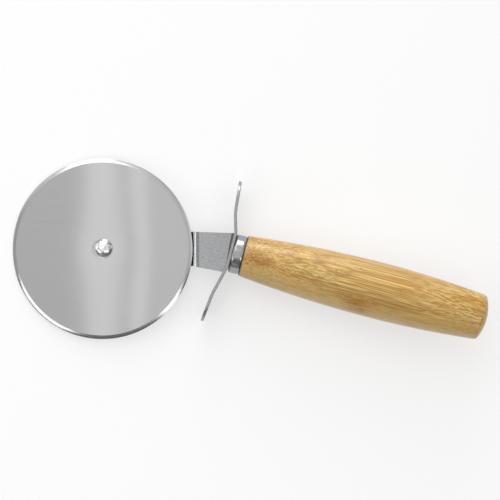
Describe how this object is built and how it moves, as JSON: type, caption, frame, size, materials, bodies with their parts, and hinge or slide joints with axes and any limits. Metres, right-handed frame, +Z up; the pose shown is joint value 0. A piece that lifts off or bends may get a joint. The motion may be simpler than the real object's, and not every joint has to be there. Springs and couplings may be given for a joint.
{
  "type": "pizza wheel",
  "caption": "Pizza wheel: a bevelled steel disc spins on a rivet at the end of a one-sided flat arm, with a finger guard, a ferrule and a turned bamboo handle.",
  "frame": {"origin": "middle of the base of the whole tool as it lies on a table, on its rivet tail and its handle", "axes": "+Z up out of the table and nearly square to the wheel's shown face; +X along the tool from the wheel towards the handle; +Y across it"},
  "size_m": [0.2366, 0.09, 0.0321],
  "materials": {
    "wheel_steel": "stainless sheet brushed in straight lines, bevel ground bright",
    "rivet_steel": "bright steel, head closed with a few hammer blows",
    "washer_steel": "plain steel",
    "arm_steel": "satin sheet steel with a fine tumbled grain",
    "guard_steel": "satin sheet steel, edges deburred",
    "ferrule_steel": "bright drawn steel",
    "bamboo_upper": "laminated bamboo, oiled satin, golden",
    "bamboo_middle": "laminated bamboo, oiled satin, streaked with fibre bundles",
    "bamboo_lower": "laminated bamboo, oiled satin, paler and finer grained",
    "glue": "cured glue"
  },
  "bodies": {
    "handle": {"wheel_arm": "arm_steel", "axle_rivet": "rivet_steel", "spacer_washer": "washer_steel", "finger_guard": "guard_steel", "ferrule": "ferrule_steel", "handle_upper_ply": "bamboo_upper", "handle_middle_ply": "bamboo_middle", "handle_lower_ply": "bamboo_lower", "tang_glue": "glue"},
    "wheel": {"cutting_wheel": "wheel_steel"}
  },
  "joints": [
    {"name": "wheel_spin", "type": "hinge", "parent": "handle", "child": "wheel", "pos_m": [-0.0735, 0, 0.00457], "axis": [-0.0851, 0, 0.9964], "continuous": true}
  ]
}
